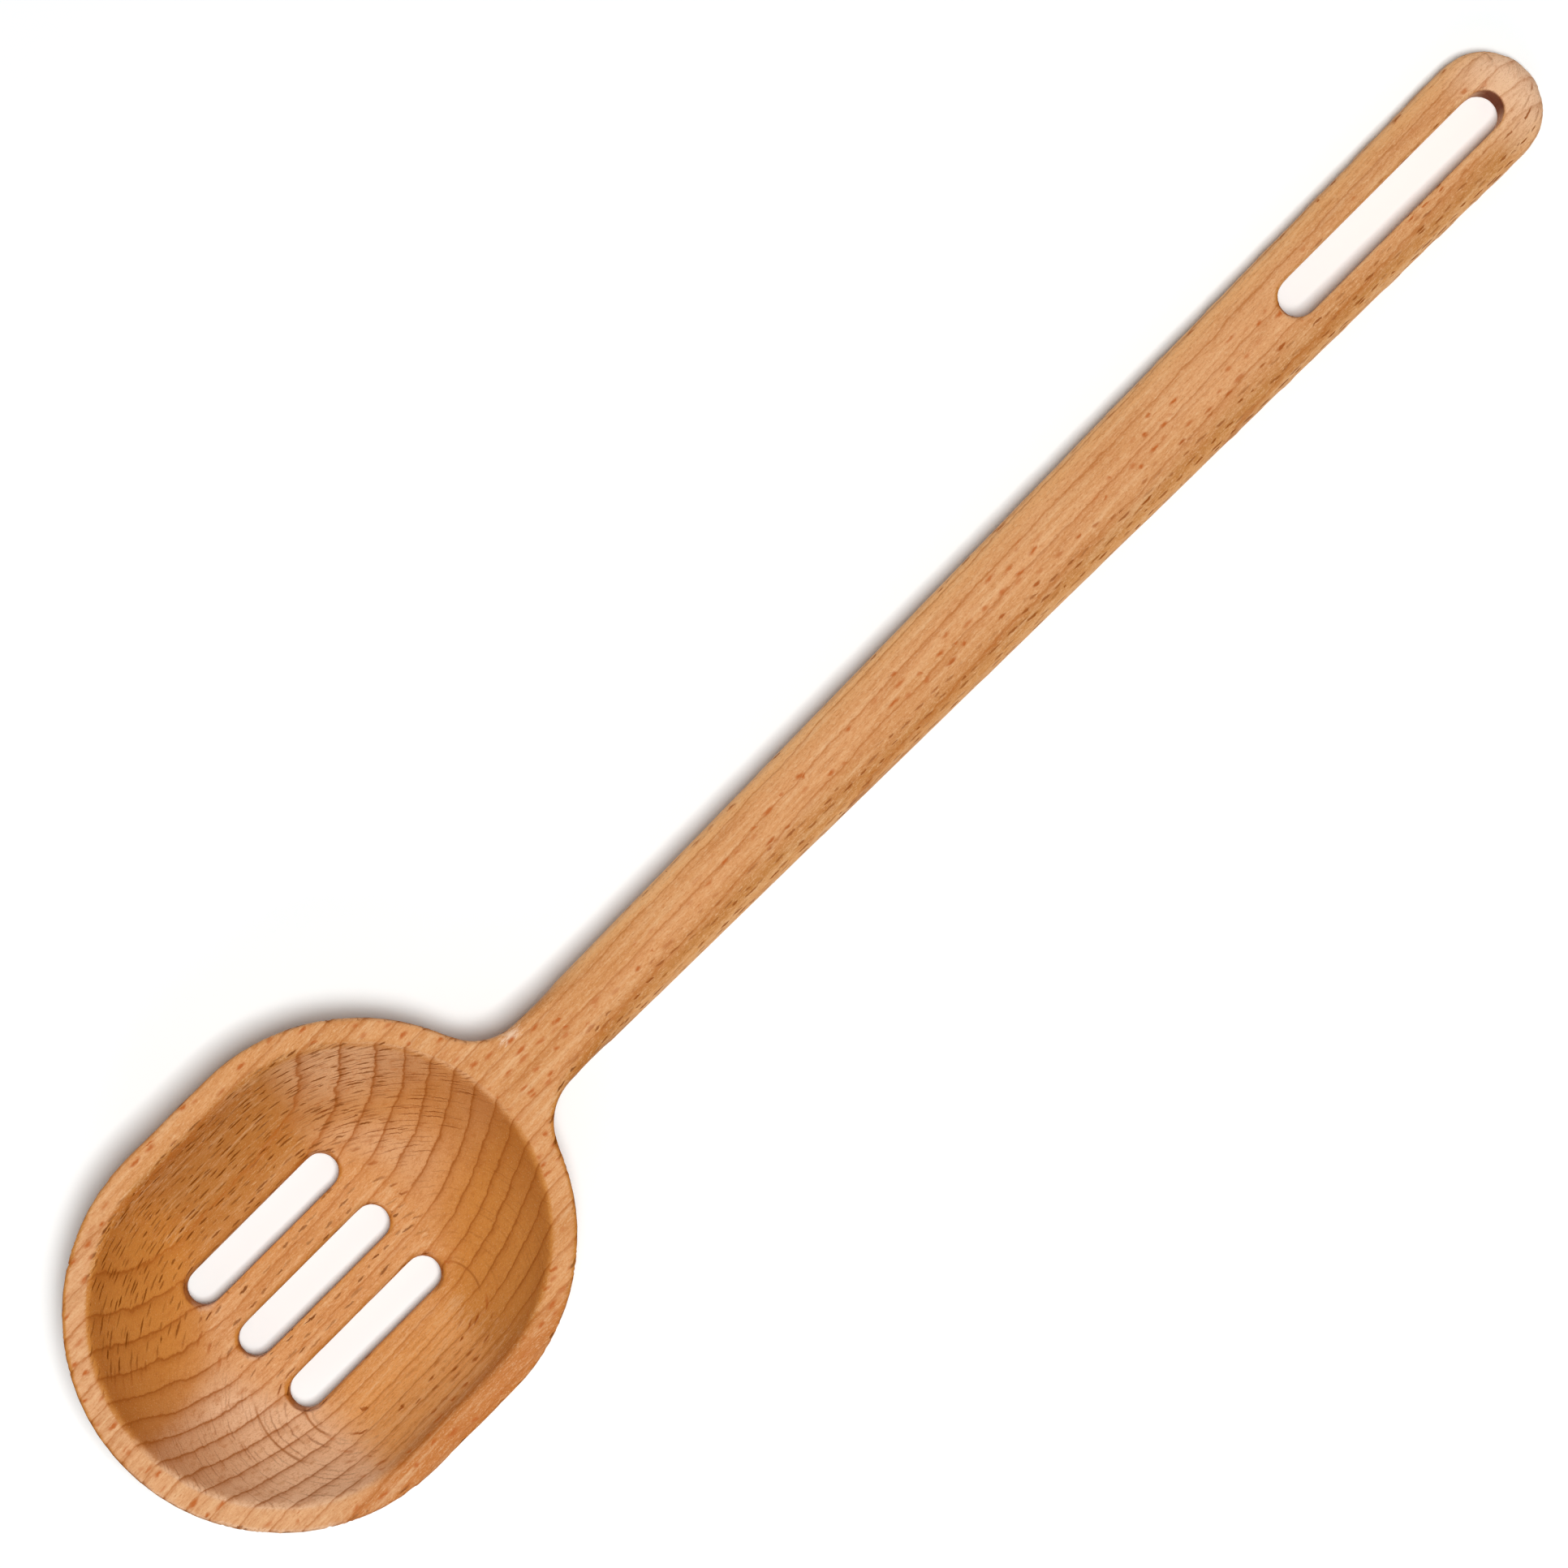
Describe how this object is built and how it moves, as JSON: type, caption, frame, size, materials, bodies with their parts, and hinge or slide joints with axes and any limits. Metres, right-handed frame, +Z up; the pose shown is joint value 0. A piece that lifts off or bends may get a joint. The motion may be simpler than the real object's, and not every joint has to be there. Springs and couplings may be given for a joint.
{
  "type": "slotted spoon",
  "caption": "Wooden slotted spoon: a carved oval bowl with long round-ended slots in its floor, and a widening handle with a long hanging slot.",
  "frame": {"origin": "on the surface the spoon lies on, below the middle of its bounding box, with the spoon at rest on the underside of its bowl and the end of its handle", "axes": "+X along the spoon from the bowl to the handle's end, +Y to its left seen from above with the handle away from the viewer, +Z up out of the open bowl"},
  "size_m": [0.3194, 0.0702, 0.0232],
  "materials": {
    "beech": "sanded and oiled, satin"
  },
  "bodies": {
    "root": {"spoon": "beech"}
  },
  "joints": []
}
